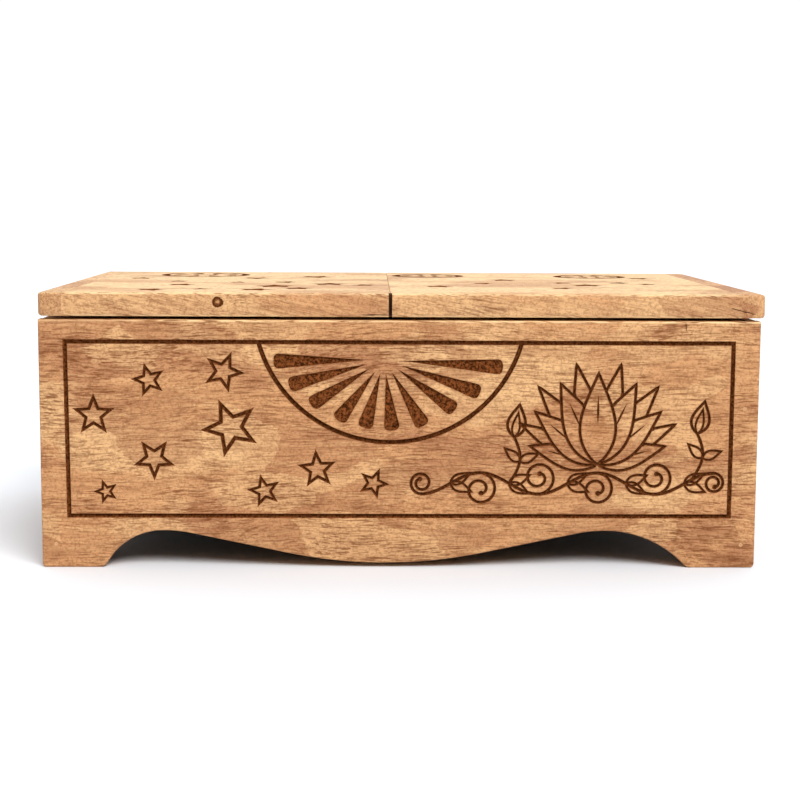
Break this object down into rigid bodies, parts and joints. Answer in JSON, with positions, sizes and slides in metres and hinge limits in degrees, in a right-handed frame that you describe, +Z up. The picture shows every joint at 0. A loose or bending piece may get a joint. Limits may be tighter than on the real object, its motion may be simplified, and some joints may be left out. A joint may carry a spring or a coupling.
{
  "type": "sliding lid box",
  "caption": "Wooden keepsake box on bracket feet with a scalloped apron, a carved front and a lid in halves that slide apart on runner battens.",
  "frame": {"origin": "on the floor below the middle of the box", "axes": "+X along the length to the viewer's right, +Y away from the carved front, +Z up"},
  "size_m": [0.3067, 0.19, 0.1174],
  "materials": {
    "carved_wood": "satin oil",
    "wall_wood": "satin oil",
    "lid_wood": "satin oil",
    "batten_wood": "planed, bare",
    "board_wood": "planed, bare",
    "screw_brass": "satin",
    "brad_steel": "dull"
  },
  "bodies": {
    "box": {"front_panel": "carved_wood", "back_panel": "wall_wood", "left_end_panel": "wall_wood", "right_end_panel": "wall_wood", "bottom_board": "board_wood", "front_left_brads": "brad_steel", "front_right_brads": "brad_steel", "back_left_brads": "brad_steel", "back_right_brads": "brad_steel"},
    "left_lid": {"left_lid_board": "lid_wood", "left_lid_end_strip": "lid_wood", "left_lid_batten": "batten_wood", "left_batten_screws": "screw_brass"},
    "right_lid": {"right_lid_board": "lid_wood", "right_lid_end_strip": "lid_wood", "right_lid_batten": "batten_wood", "right_batten_screws": "screw_brass"}
  },
  "joints": [
    {"name": "left_lid_slide", "type": "slide", "parent": "box", "child": "left_lid", "axis": [-1, 0, 0], "range_m": [0, 0.0891]},
    {"name": "right_lid_slide", "type": "slide", "parent": "box", "child": "right_lid", "axis": [1, 0, 0], "range_m": [0, 0.0979]}
  ]
}
